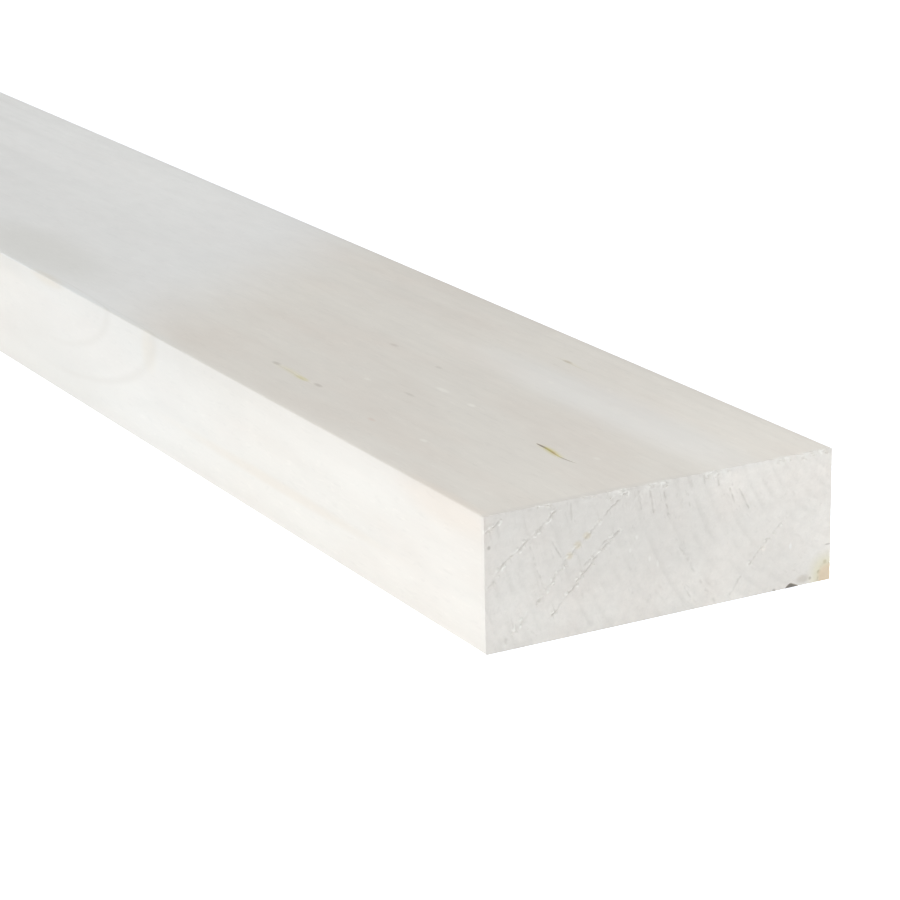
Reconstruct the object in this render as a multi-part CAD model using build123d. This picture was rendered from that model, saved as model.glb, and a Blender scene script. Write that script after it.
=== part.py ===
from build123d import *
import os

# A planed softwood plank: one piece of whitewood, planed on four sides and cross-cut square at both ends.
# X runs along the grain, Y across the width and Z up. The end that shows its defects is the +X end.
# The origin is the middle of the underside, the wide face that the plank lies on. Lengths are in millimetres.

# Stock
length = 1800.0
width = 95.0
thickness = 33.0
arris_radius = 0.4  # the four long edges, just broken as they leave the planer

# Pitch pockets, resin-filled lenses along a growth ring that the planer has opened at the top face.
# Each is placed by the middle of its slit, from the +X end and from the -Y edge.
ring_lean = 15.0  # degrees between a growth ring and the vertical, where the rings meet the top face
short_pocket_length = 18.5
short_pocket_opening = 1.1
short_pocket_depth = 3.0
short_pocket_from_end = 31.25
short_pocket_from_edge = 37.75
long_pocket_length = 28.0
long_pocket_opening = 0.7
long_pocket_depth = 2.0
long_pocket_from_end = 125.0
long_pocket_from_edge = 15.75

# Edge knot at the lower +Y corner of the +X end, with a seam of bark round it
knot_half_width = 3.6
knot_half_height = 5.4
bark_seam = 0.4
bark_seam_depth = 2.0

# Splinter torn from the lower edge of the +X end, beside the knot
splinter_width = 4.6
splinter_height = 1.5
splinter_length = 9.0
splinter_from_edge = 11.7  # from the +Y edge to its middle

# Reach of a cut past the face that it opens
cut_overrun = 2.0

# Places that follow from the sizes
end_x = length / 2
edge_y = width / 2


def planed_stock() -> Part:
    """The planed section, drawn across the grain and run out to both ends."""
    section = Pos(0, thickness / 2) * RectangleRounded(width, thickness, arris_radius)
    return extrude(Plane.YZ * section, amount=end_x, both=True)


def pitch_pocket(slit: float, opening: float, depth: float, from_end: float, from_edge: float) -> Part:
    """A flat round lens on a leaning growth ring, high enough for the top face to leave a slit of this size."""
    radius = ((slit / 2) ** 2 + depth**2) / (2 * depth)
    rise = radius - depth
    half_middle = opening / 2 / (1 - (rise / radius) ** 2)
    bulge = ThreePointArc((-radius, 0), (0, half_middle), (radius, 0))
    half_lens = make_face([bulge, Line((radius, 0), (-radius, 0))])
    upper_half = split(half_lens, bisect_by=Plane.YZ, keep=Keep.TOP)
    half = revolve(upper_half, Axis.Y)
    lens = half + mirror(half, about=Plane.XZ)
    raised = Rot(ring_lean, 0, 0) * Pos(0, 0, rise) * lens
    return Pos(end_x - from_end, from_edge - edge_y, thickness) * raised


def bark_ring() -> Part:
    """The narrow seam between the edge knot and the sound wood, open at the end face."""
    outline = Ellipse(knot_half_width + bark_seam, knot_half_height + bark_seam)
    ring = outline - Ellipse(knot_half_width, knot_half_height)
    on_end = Plane.YZ.offset(end_x - bark_seam_depth) * Pos(edge_y, 0) * ring
    return extrude(on_end, amount=bark_seam_depth + cut_overrun)


def torn_splinter() -> Part:
    """A pointed sliver with its ridge in the end face, running out along the grain on the underside."""
    growth = (splinter_length + cut_overrun) / splinter_length
    half_width = growth * splinter_width / 2
    height = growth * splinter_height
    mouth = make_face(Polyline((-half_width, 0), (0, height), (half_width, 0), (0, -height), close=True))
    middle_y = edge_y - splinter_from_edge
    placed = Plane.YZ.offset(end_x + cut_overrun) * Pos(middle_y, 0) * mouth
    return loft([placed.face(), Vertex(end_x - splinter_length, middle_y, 0)])


def plank() -> Part:
    """The planed stock with its pitch pockets, bark seam and torn splinter."""
    pockets = [
        pitch_pocket(
            short_pocket_length,
            short_pocket_opening,
            short_pocket_depth,
            short_pocket_from_end,
            short_pocket_from_edge,
        ),
        pitch_pocket(
            long_pocket_length,
            long_pocket_opening,
            long_pocket_depth,
            long_pocket_from_end,
            long_pocket_from_edge,
        ),
    ]
    return planed_stock() - [*pockets, bark_ring(), torn_splinter()]


os.makedirs("parts", exist_ok=True)
export_step(plank(), "parts/plank.step")
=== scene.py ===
"""Looks of a planed whitewood plank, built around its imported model.

Sizes are in millimetres, taken as a joiner would take them on the plank: back from the show end, in from the
left edge and down from the top face. Meshes are written in metres, in the part's own frame.
"""

import logging
import math
from collections.abc import Callable
from dataclasses import dataclass
from enum import Enum
from functools import partial

import bmesh
import bpy
import numpy as np
from bpy.types import GeometryNodeTree, Material, NodeSocket, NodeTree, Object
from mathutils import Matrix, Vector, geometry, noise


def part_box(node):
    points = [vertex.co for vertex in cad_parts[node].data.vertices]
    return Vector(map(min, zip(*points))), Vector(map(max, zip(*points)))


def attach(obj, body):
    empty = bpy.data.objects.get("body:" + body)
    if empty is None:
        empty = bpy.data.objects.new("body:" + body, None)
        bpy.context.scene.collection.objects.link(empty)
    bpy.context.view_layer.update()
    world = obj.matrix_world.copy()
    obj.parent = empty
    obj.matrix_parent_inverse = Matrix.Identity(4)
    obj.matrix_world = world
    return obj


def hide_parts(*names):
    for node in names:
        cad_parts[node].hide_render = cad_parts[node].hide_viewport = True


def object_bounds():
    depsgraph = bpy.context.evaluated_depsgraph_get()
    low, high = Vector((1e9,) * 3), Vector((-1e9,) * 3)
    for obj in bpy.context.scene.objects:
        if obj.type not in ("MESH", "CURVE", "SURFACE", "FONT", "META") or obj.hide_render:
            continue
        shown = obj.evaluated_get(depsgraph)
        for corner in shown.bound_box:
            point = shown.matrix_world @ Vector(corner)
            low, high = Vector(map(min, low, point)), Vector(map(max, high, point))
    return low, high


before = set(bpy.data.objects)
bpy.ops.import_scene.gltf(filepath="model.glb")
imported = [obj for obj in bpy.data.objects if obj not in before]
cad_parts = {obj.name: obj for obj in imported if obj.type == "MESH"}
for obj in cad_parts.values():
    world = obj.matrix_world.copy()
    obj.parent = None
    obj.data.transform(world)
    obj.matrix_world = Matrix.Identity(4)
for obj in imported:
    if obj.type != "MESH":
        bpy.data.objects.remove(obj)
CAD_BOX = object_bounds()

log = logging.getLogger("plank")
MM = 0.001  # metres in a millimetre
TINY = 1e-6  # keeps a division off zero, and tells what lies on a face
DECIMALS = 5  # points that agree to this many decimals of a millimetre are one point
NODE = "plank"
BODY = "root"
MATH = "ShaderNodeMath"
VECTOR = "ShaderNodeVectorMath"
RANGE = "ShaderNodeMapRange"
RAMP = "ShaderNodeValToRGB"
RANDOM = "FunctionNodeRandomValue"
Rows = np.ndarray  # back, in and down for each place
Values = np.ndarray  # one number for each place
Size3 = tuple[float, float, float]
Pairs = tuple[tuple[float, float], ...]
Colour = NodeSocket | str  # a socket, or an sRGB hex colour


class Patch(Enum):
    """The surfaces of the plank, each with its own place on the texture map."""

    SHOW_END = "show end"
    FAR_END = "far end"
    TOP = "top"
    UNDERSIDE = "underside"
    LEFT = "left"
    RIGHT = "right"


class Mask(Enum):
    """Per-vertex masks that the wood's material reads."""

    END_GRAIN = "end_grain"
    PITCH = "pitch"
    PITCH_ALONG = "pitch_along"
    HALO = "halo"
    KNOT = "knot"
    BARK = "bark"
    SAWN = "sawn"
    TORN = "torn"


def linear(colour: str) -> tuple[float, float, float, float]:
    """Turn an sRGB hex colour into linear RGBA.

    Args:
        colour: Six hex digits after a hash.

    Returns:
        Linear red, green and blue, and an alpha of 1.
    """
    digits = colour.lstrip("#")
    channels = [int(digits[i : i + 2], 16) / 255 for i in (0, 2, 4)]
    red, green, blue = (c / 12.92 if c <= 0.04045 else ((c + 0.055) / 1.055) ** 2.4 for c in channels)
    return red, green, blue, 1.0


def add_node(
    tree: NodeTree,
    kind: str,
    inputs: dict | None = None,
    output: int | str = 0,
    stops: tuple = (),
    **settings,
) -> NodeSocket | None:
    """Add a node, set its properties and fill or link its inputs.

    Args:
        tree: The tree that gets the node.
        kind: The node's type name.
        inputs: Values or output sockets by input name or number.
        output: The name or number of the output that is wanted.
        stops: Positions and colours of a ramp, its two ends first.
        settings: Properties of the node.

    Returns:
        The output, or nothing where the node has none.
    """
    node = tree.nodes.new(kind)
    for name, value in settings.items():
        setattr(node, name, value)
    for key, value in (inputs or {}).items():
        if isinstance(value, NodeSocket):
            tree.links.new(value, node.inputs[key])
        else:
            node.inputs[key].default_value = value
    for number, (position, colour) in enumerate(stops):
        elements = node.color_ramp.elements
        stop = elements[number] if number < 2 else elements.new(position)  # a new ramp has two stops
        stop.position, stop.color = position, colour
    return node.outputs[output] if node.outputs else None


def fade(distance: Values, reach: float) -> Values:
    """Fall smoothly from 1 at no distance to 0 at the reach."""
    left = np.clip(1 - distance / reach, 0, 1)
    return left * left * (3 - 2 * left)


def path_distance(places: Rows, path: Pairs) -> tuple[Values, Values]:
    """Measure from points of the sawn end to a path on it.

    Args:
        places: Where on the plank.
        path: Corners of the path, each as in and down.

    Returns:
        The signed distance to the nearest stretch, plus below it, and the length along the path.
    """
    across, down = places[:, 1], places[:, 2]
    nearest = np.full(across.shape, np.inf)
    side, along = np.zeros((2, len(places)))
    run = 0.0
    for (a_in, a_down), (b_in, b_down) in zip(path, path[1:]):
        step_in, step_down = b_in - a_in, b_down - a_down
        length = math.hypot(step_in, step_down)
        share = ((across - a_in) * step_in + (down - a_down) * step_down) / length**2
        share = np.clip(share, 0, 1)
        off_in, off_down = across - a_in - share * step_in, down - a_down - share * step_down
        distance = np.hypot(off_in, off_down)
        closer = distance < nearest
        sign = np.where(step_in * off_down - step_down * off_in < 0, -1, 1)
        nearest = np.where(closer, distance, nearest)
        side = np.where(closer, sign * distance, side)
        along = np.where(closer, run + share * length, along)
        run += length
    return side, along


@dataclass(frozen=True)
class Lumps:
    """Smooth noise over the plank, with lumps of a set size."""

    height: float
    sizes: Size3  # along back, in and down
    seed: float  # tells one noise from another
    base: float = 0.0

    def at(self, places: Rows) -> Values:
        """The base, raised or lowered by up to about the height, at each place."""
        shifted = places / np.array(self.sizes) + self.seed
        return self.base + self.height * np.array([noise.noise(place) for place in shifted.tolist()])

    def share(self, places: Rows) -> Values:
        """The same, kept between 0 and 1."""
        return np.clip(self.at(places), 0, 1)


@dataclass(frozen=True)
class EndMark:
    """The score of a saw tooth across the show end, with torn fibres beside it."""

    path: Pairs  # its corners, each as in and down
    seed: float
    depth: float = 0.13
    half_width: float = 0.23
    dash: float = 1.3  # length of the stretches that it breaks into
    shown: float = 0.3  # share of its length that shows
    breaks: float = 1.3  # how sharply it breaks off
    burr: float = 0.22  # height of the torn fibres that stand beside it
    waver: float = 0.3
    bends: tuple[float, float] = (2.6, 0.7)  # length of its long wavers and of its short ones
    reach: float = 2.0
    tuft: float = 0.9  # length of a tuft of torn fibres
    tuft_half: float = 0.26  # half its breadth
    tuft_rise: float = 2.4  # how sharply it begins and ends
    tuft_least: float = -0.2
    tuft_sides: Pairs = ((0.5, 17.0), (-0.55, 23.0))  # how far aside each row stands, and its step in seed
    bend_step: float = 5.0  # the steps in seed of its short wavers and of its breaks
    break_step: float = 11.0

    def relief(self, places: Rows) -> tuple[Values, Values, Values]:
        """Work out the line's depth and how it marks the wood.

        Args:
            places: Where on the plank.

        Returns:
            The depth less the burr, a mask of the dark line, partly painted shade in its groove, and a mask
            of the torn fibres, partly painted highlight.
        """
        depth, dark, torn = np.zeros((3, len(places)))
        side, along = path_distance(places, self.path)
        near = np.abs(side) < self.reach
        steps = np.zeros((near.sum(), 3))
        steps[:, 0] = along[near]
        off = side[near] + Lumps(self.waver, (self.bends[0], 1, 1), self.seed).at(steps)
        off = off + Lumps(self.waver, (self.bends[1], 1, 1), self.seed + self.bend_step).at(steps)
        broken = Lumps(self.breaks, (self.dash, 1, 1), self.seed + self.break_step, self.shown).share(steps)
        # The dark line is partly darker torn wood, partly painted shade in the groove
        dark[near] = np.exp(-((off / self.half_width) ** 2)) * broken
        # The pale tufts beside it are torn fibres, their colour partly painted highlight
        for lean, step in self.tuft_sides:
            tufts = Lumps(self.tuft_rise, (self.tuft, 1, 1), self.seed + step, self.tuft_least)
            beside = np.exp(-(((off + lean) / self.tuft_half) ** 2))
            torn[near] = np.maximum(torn[near], beside * (tufts.share(steps) * (self.burr > 0)))
        depth[near] = self.depth * dark[near] - self.burr * torn[near]
        return depth, dark, torn


@dataclass(frozen=True)
class OpenRing(EndMark):
    """A growth ring that has begun to open at the show end, with no torn fibres beside it."""

    burr: float = 0.0
    waver: float = 0.1


@dataclass(frozen=True)
class PitchPocket:
    """A resin-filled slit in the top face, along the grain."""

    from_end: float
    from_edge: float
    length: float
    opening: float
    depth: float
    bend: float  # how far its two halves swing apart
    sag: float  # how far its middle lies towards the left edge
    resin: float  # how much of the slit shows dark resin, from 0 to 1
    halo: float  # how far the resin has stained the wood beside it
    stained: float  # how strong that stain is, from 0 to 1
    middle_share: float = 0.68  # how wide it is in its middle, as a share of its opening
    swell_share: float = 0.32  # how much that grows to its far head and shrinks to its near tail
    wall: float = 1.25  # the foot of its walls, in half openings
    steepness: float = 1.6
    stain_middle: float = 0.2  # the stain's middle along the slit, as a share of half its length
    stain_reach: float = 0.85
    mesh_size: float = 0.16
    mesh_growth: float = 0.3

    def across(self, places: Rows) -> tuple[Values, Values]:
        """Measure from the slit's bent middle line.

        Args:
            places: Where on the plank.

        Returns:
            The distance across the grain, and the place along the slit from -1, near, to 1, far.
        """
        along = (places[:, 0] - self.from_end) / (self.length / 2)
        middle = self.from_edge + self.bend * np.sin(math.pi * along) - self.sag * (1 - along**2)
        return places[:, 1] - middle, along

    def shape(self, places: Rows) -> Values:
        """Work out the slit's form, a thin near tail that widens to a far head.

        Args:
            places: Where on the plank.

        Returns:
            The share of its depth at each place.
        """
        off, along = self.across(places)
        lens = np.clip(1 - along**2, 0, 1)
        swell = np.clip(self.middle_share + self.swell_share * along, 0, 1)
        half = self.opening / 2 * np.sqrt(lens) * swell
        inside = np.clip(self.wall - np.abs(off) / np.maximum(half, TINY), 0, 1)
        return np.where(lens > 0, np.minimum(inside * self.steepness, 1), 0)

    def stain(self, places: Rows) -> Values:
        """Work out where the resin has stained the wood beside the slit.

        Args:
            places: Where on the plank.

        Returns:
            The stain's share at each place.
        """
        off, along = self.across(places)
        spread = fade(np.abs(along - self.stain_middle), self.stain_reach)
        return self.stained * fade(np.abs(off), self.halo) * spread

    def size_wanted(self, places: Rows) -> Values:
        """Work out the mesh size that the slit asks for.

        Args:
            places: Where on the plank.

        Returns:
            A size for each place.
        """
        off, along = self.across(places)
        beyond = np.maximum(np.abs(along) - 1, 0) * self.length / 2
        beside = np.maximum(np.abs(off) - self.opening, 0)
        return self.mesh_size + self.mesh_growth * np.hypot(beyond, beside)


@dataclass(frozen=True)
class EdgeKnot:
    """A bark-bound knot in the lower right corner of the show end."""

    half_width: float = 3.6
    half_height: float = 4.2
    bluntness: float = 3.0  # 2 gives a round outline, more a squarer one
    reach_back: float = 9.0  # how far it runs along the arris
    edge: float = 1.1  # where its colour ends, in knot radii
    sharpness: float = 3.0  # how quickly it ends there
    stained: float = 0.36  # how strong the resin stain round it is, from 0 to 1
    stain_from: float = 0.9  # where that stain begins to fade, in knot radii
    stain_reach: float = 1.15
    seam: float = 0.4
    seam_depth: float = 0.2
    seam_wander: Lumps = Lumps(0.5, (1.9, 1.9, 1.9), 6.3)
    seam_gaps: Lumps = Lumps(1.3, (1.2, 1.2, 1.2), 3.1, 0.15)
    seam_shown: tuple[float, float] = (0.05, 0.75)  # its faintest and its darkest

    def radius(self, right: Values, up: Values, back: Values) -> Values:
        """Distance from the corner in knot radii, 1 at the bark seam."""
        spans = (right / self.half_width, up / self.half_height, back / self.reach_back)
        return sum(np.abs(span) ** self.bluntness for span in spans) ** (1 / self.bluntness)

    def wood(self, radius: Values) -> Values:
        """Share of the knot's own wood at each radius."""
        return np.clip(self.sharpness * (self.edge - radius), 0, 1)

    def stain(self, radius: Values) -> Values:
        """Share of the resin stain at each radius."""
        return self.stained * fade(np.maximum(radius - self.stain_from, 0), self.stain_reach)

    def bark_seam(self, right: Values, up: Values, back: Values) -> Values:
        """Work out the bark seam, broken along its run.

        Args:
            right: Distances in from the right edge.
            up: Distances up from the underside.
            back: Distances back from the show end.

        Returns:
            The seam's share at each place.
        """
        gap = (self.radius(right, up, back) - 1) * self.half_width - self.seam / 2
        places = np.stack([right, up, back], 1)
        gap = gap + self.seam_wander.at(places)
        broken = np.clip(self.seam_gaps.at(places), *self.seam_shown)
        return np.exp(-((gap / (self.seam / 2)) ** 2)) * broken


@dataclass(frozen=True)
class Splinter:
    """A pointed sliver that has torn out of the lower edge of the show end."""

    width: float = 3.9
    height: float = 0.95
    length: float = 9.0
    from_edge: float = 11.1  # from the right edge to its middle
    peak: float = 0.2  # how far its highest point lies to the left, as a share of half its width
    flatness: float = 1.15  # more than 1 cuts its ridge off flat
    pull: float = 4.0  # how far up the end's points follow it, in heights
    dark_height: float = 0.3  # from this height its hollow is painted dark, as shade

    def lift(self, right: Values, back: Values) -> Values:
        """Work out the height of the torn hollow over the underside.

        Args:
            right: Distances in from the right edge.
            back: Distances back from the show end.

        Returns:
            A height for each place.
        """
        left = np.clip(1 - back / self.length, TINY, 1)
        off = (right - self.from_edge) / (left * self.width / 2)
        slope = np.where(off > self.peak, (1 - off) / (1 - self.peak), (1 + off) / (1 + self.peak))
        return self.height * left * np.clip(self.flatness * slope, 0, 1)


@dataclass(frozen=True)
class TornPatch:
    """A stretch of the show end's top edge where the saw has lifted pale fibres."""

    start: float
    end: float
    height: float
    firm_share: float = 0.6  # share of its half length that is torn through
    soft_share: float = 0.5  # share over which it then fades
    soft_least: float = 0.3

    def share(self, places: Rows) -> Values:
        """Work out where the torn fibres are.

        Args:
            places: Where on the plank.

        Returns:
            Their share at each place.
        """
        half = (self.end - self.start) / 2
        beyond = np.maximum(np.abs(places[:, 1] - self.start - half) - self.firm_share * half, 0)
        return fade(beyond, self.soft_share * half + self.soft_least) * fade(places[:, 2], self.height)


@dataclass
class Plank:
    """The planed plank: its sizes, its defects and the mesh that stands for it."""

    length: float
    width: float
    thickness: float
    centre: Size3
    arris: float = 0.4
    arris_steps: int = 4
    end_size: float = 0.3  # mesh sizes, from the show end to the far end
    far_end_size: float = 1.25
    largest_size: float = 9.6
    growth: float = 0.14
    mark_size: float = 0.19  # mesh size along a mark of the show end
    mark_reach: float = 0.8
    mark_growth: float = 0.3
    clearance: float = 0.45  # least distance of a mesh point from its outline, in mesh sizes
    sharp_angle: float = 38.0
    reach: float = 4.0  # how deep the relief of a face shifts what lies behind it
    mask_reach: float = 1.2  # how deep a face's marks colour the wood behind it
    corner_wear: float = 0.1  # how far the near top left corner is knocked in
    corner_reach: float = 3.0
    pith_across: float = 107.0  # the log's middle, in from the left edge
    pith_down: float = -12.6  # and down from the top face
    saw_ripple: Lumps = Lumps(0.04, (0.9, 7.0, 1.0), 3.7)  # along the saw's strokes, which run aslant
    end_lumps: Lumps = Lumps(0.06, (1.0, 1.5, 1.7), 8.1)
    end_grit: Lumps = Lumps(0.025, (1.0, 0.6, 0.7), 6.6)
    ring_dashes: Lumps = Lumps(4.0, (0.5, 2.6, 1.0), 14.2, -1.5)  # short openings along the rings
    dash_depth: float = 0.06
    dash_shown: float = 0.35
    torn_lumps: Lumps = Lumps(0.9, (1.0, 0.9, 1.6), 5.5, 0.45)
    torn_sides: Lumps = Lumps(1.0, (1.0, 2.4, 2.4), 9.9)  # whether torn wood stands up or has gone
    torn_depth: float = 0.16
    end_nibbles: Lumps = Lumps(1.1, (1.0, 2.1, 30.0), 2.9, 0.1)  # bites out of the top edge, on the end
    end_nibble_depth: float = 0.22
    end_nibble_reach: float = 1.3
    top_nibbles: Lumps = Lumps(1.1, (40.0, 3.1, 1.0), 21.0, 0.1)  # and on the top face
    small_nibbles: Lumps = Lumps(0.6, (9.0, 1.1, 1.0), 4.4)
    top_nibble_depth: float = 0.2
    top_nibble_reach: float = 1.6
    map_edge: float = 0.01  # room left round the texture map
    map_end: float = 0.83  # where the two ends lie on it
    map_squeeze: float = 600.0  # past about this length the map has less room for the long faces
    map_margin: float = 2.0
    pockets: tuple[PitchPocket, ...] = (
        PitchPocket(
            from_end=31.25,
            from_edge=37.75,
            length=18.5,
            opening=1.1,
            depth=0.06,
            bend=0.35,
            sag=0.5,
            resin=0.95,
            halo=1.7,
            stained=0.8,
        ),
        PitchPocket(
            from_end=125.0,
            from_edge=15.75,
            length=28.0,
            opening=0.7,
            depth=0.08,
            bend=0.3,
            sag=0.0,
            resin=0.06,
            halo=1.8,
            stained=0.25,
        ),
        PitchPocket(
            from_end=93.75,
            from_edge=80.75,
            length=17.5,
            opening=0.5,
            depth=0.06,
            bend=0.2,
            sag=0.0,
            resin=0.16,
            halo=1.4,
            stained=0.1,
        ),
    )
    saw_marks: tuple[EndMark, ...] = (
        EndMark(((0.5, 3.9), (3.8, 1.8)), seed=0.3, shown=0.5),
        EndMark(
            ((1.2, 16.9), (5.0, 11.9), (8.1, 10.0), (11.9, 7.2), (15.0, 5.0), (18.8, 1.6)),
            seed=1.4,
            shown=0.5,
        ),
        EndMark(((3.8, 31.9), (12.5, 24.1), (16.6, 19.7)), seed=2.5, half_width=0.5, shown=0.1, depth=0.1),
        EndMark(
            ((16.6, 19.7), (21.6, 14.1), (26.9, 9.4), (32.5, 4.5), (37.5, 0.9)),
            seed=2.2,
            burr=0.18,
            shown=0.4,
        ),
        EndMark(
            ((16.6, 27.5), (20.6, 23.8), (28.1, 15.9), (35.3, 9.7)),
            seed=3.6,
            half_width=0.2,
            shown=0.85,
            burr=0.26,
        ),
        EndMark(
            ((26.0, 16.6), (28.6, 14.4), (32.0, 11.4)),
            seed=3.9,
            half_width=0.18,
            shown=0.6,
            burr=0.0,
            waver=0.15,
        ),
        EndMark(((66.2, 31.2), (69.0, 27.5)), seed=4.9, half_width=0.3, shown=0.8, burr=0.0),
        EndMark(((71.6, 24.7), (76.2, 20.0), (81.2, 15.6)), seed=4.1, shown=0.45),
    )
    ring_lines: tuple[EndMark, ...] = (
        OpenRing(((22.8, 1.0), (22.9, 4.8)), seed=5.2, shown=0.6, waver=0.06),
        OpenRing(((11.9, 8.8), (13.4, 14.4), (15.6, 20.0)), seed=5.9),
        OpenRing(((17.8, 9.4), (20.0, 13.1)), seed=6.4, shown=0.4),
        OpenRing(((40.9, 1.2), (41.6, 5.6)), seed=7.1, shown=0.6, waver=0.08),
        OpenRing(((43.8, 1.0), (45.0, 6.9)), seed=7.8, shown=0.75, waver=0.08),
        OpenRing(((47.5, 1.0), (49.0, 8.1)), seed=8.3, shown=0.75, waver=0.08),
        OpenRing(((54.3, 3.5), (55.0, 8.0)), seed=8.9, waver=0.08),
        OpenRing(((58.8, 0.5), (59.0, 2.3)), seed=9.2, shown=0.9, waver=0.05),
        OpenRing(((62.5, 1.6), (62.9, 3.6)), seed=9.7, shown=0.9, waver=0.05),
        OpenRing(((66.0, 5.0), (67.8, 9.7)), seed=10.3, shown=0.7),
        OpenRing(((68.8, 5.6), (71.9, 11.6)), seed=10.8, shown=0.75),
        OpenRing(
            ((51.2, 14.7), (53.1, 18.1), (55.3, 21.9), (58.5, 27.4), (61.9, 32.2)),
            seed=11.2,
            half_width=0.36,
            waver=0.3,
        ),
        OpenRing(((53.1, 26.2), (55.3, 30.0), (57.5, 32.2)), seed=11.9),
        OpenRing(((39.0, 25.0), (40.6, 29.4)), seed=12.4),
        OpenRing(((11.2, 28.8), (13.4, 30.8)), seed=12.9, shown=0.5),
    )
    # Start, end and height
    torn_patches: tuple[TornPatch, ...] = (
        TornPatch(13.5, 17.5, 1.7),
        TornPatch(25.5, 28.5, 1.5),
        TornPatch(31.5, 38.5, 3.2),
        TornPatch(41.5, 49.5, 2.6),
        TornPatch(58.0, 65.5, 2.6),
        TornPatch(78.5, 83.0, 2.8),
        TornPatch(84.0, 93.5, 2.6),
    )
    knot: EdgeKnot = EdgeKnot()
    splinter: Splinter = Splinter()

    def to_frame(self, places: Rows) -> np.ndarray:
        """Turn places on the plank into the part's frame.

        Args:
            places: Where on the plank.

        Returns:
            Rows of X, Y and Z in metres.
        """
        x = self.length / 2 - places[:, 0]
        y = places[:, 1] - self.width / 2
        z = self.thickness / 2 - places[:, 2]
        return np.stack([x, y, z], 1) * MM + np.array(self.centre)

    def node_place(self, back: float, across: float, down: float) -> Size3:
        """Turn back, in and down into millimetres in the part's frame, for a material."""
        return tuple(float(value) / MM for value in self.to_frame(np.array([[back, across, down]]))[0])

    def stations(self) -> np.ndarray:
        """Places along the plank for the mesh, close at both ends and wider apart between.

        Returns:
            Rising distances from the show end, from 0 to the length.
        """
        places = [0.0]
        while places[-1] < self.length:
            near, far = places[-1], self.length - places[-1]
            steps = (self.end_size + self.growth * near, self.far_end_size + self.growth * far)
            places.append(places[-1] + min(*steps, 2 * self.largest_size))
        return np.array(places) * self.length / places[-1]

    def end_wanted(self, places: Rows) -> Values:
        """Work out the mesh size that the show end asks for.

        Args:
            places: Where on the end.

        Returns:
            A size for each place.
        """
        wanted = np.full(len(places), self.end_size)
        for mark in (*self.saw_marks, *self.ring_lines):
            side, _ = path_distance(places, mark.path)
            beside = np.maximum(np.abs(side) - self.mark_reach, 0)
            wanted = np.minimum(wanted, self.mark_size + self.mark_growth * beside)
        right, up = self.width - places[:, 1], self.thickness - places[:, 2]
        aside = np.maximum(right - self.splinter.from_edge - self.splinter.width, 0)
        over = np.maximum(up - self.knot.half_height, 0)
        return np.minimum(wanted, self.mark_size + self.mark_growth * np.hypot(aside, over))

    def face_wanted(self, places: Rows) -> Values:
        """Work out the mesh size that a long face asks for.

        Args:
            places: Where on the face.

        Returns:
            A size for each place.
        """
        back = places[:, 0]
        near = self.end_size + self.growth * back
        far = self.far_end_size + self.growth * (self.length - back)
        wanted = np.minimum(np.minimum(near, far), self.largest_size)
        on_top = places[:, 2] < self.arris / 2
        for pocket in self.pockets:
            wanted = np.where(on_top, np.minimum(wanted, pocket.size_wanted(places)), wanted)
        aside = np.abs(self.width - places[:, 1] - self.splinter.from_edge) - self.splinter.width / 2
        beyond = np.hypot(np.maximum(aside, 0), np.maximum(back - self.splinter.length, 0))
        below = places[:, 2] > self.thickness - self.arris / 2
        return np.where(below, np.minimum(wanted, self.end_size + self.mark_growth * beyond), wanted)

    def squares(self, spans: tuple[float, float], wanted: Callable) -> np.ndarray:
        """Corners of squares that split until each is small enough.

        Args:
            spans: The two sides of the rectangle to fill.
            wanted: Gives the size asked for at points of the rectangle.

        Returns:
            The corners that lie clear of the rectangle's sides.
        """
        size = self.largest_size
        counts = [math.ceil(span / size) for span in spans]
        first, second = np.meshgrid(*[(np.arange(n) + 0.5) * size for n in counts], indexing="ij")
        cells = np.stack([first.ravel(), second.ravel()], 1)
        shifts = np.array([(-1, -1), (-1, 1), (1, -1), (1, 1)]) / 2
        corners = []
        while len(cells):
            split = wanted(np.minimum(cells, np.array(spans))) < size
            corners.append((cells[~split][:, None] + shifts * size).reshape(-1, 2))
            size /= 2
            cells = (cells[split][:, None] + shifts * size).reshape(-1, 2)
        points = np.unique(np.round(np.concatenate(corners), DECIMALS), axis=0)
        clear = np.minimum(points, np.array(spans) - points).min(1)
        inside = clear > 0
        return points[inside][clear[inside] > self.clearance * wanted(points[inside])]

    def fill(self, rim: np.ndarray, inner: np.ndarray) -> tuple[np.ndarray, list]:
        """Fill an outline with triangles.

        Args:
            rim: The outline's corners in order.
            inner: Points inside it.

        Returns:
            All the points, and the triangles as corner numbers.
        """
        points = np.concatenate([rim, inner])
        edges = [(i, (i + 1) % len(rim)) for i in range(len(rim))]
        flat = [Vector(point) for point in points]
        inside_only, tolerance = 1, 1e-7
        _, _, faces, origins, _, _ = geometry.delaunay_2d_cdt(flat, edges, [], inside_only, tolerance)
        return points, [[origins[corner][0] for corner in face] for face in faces]

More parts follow.
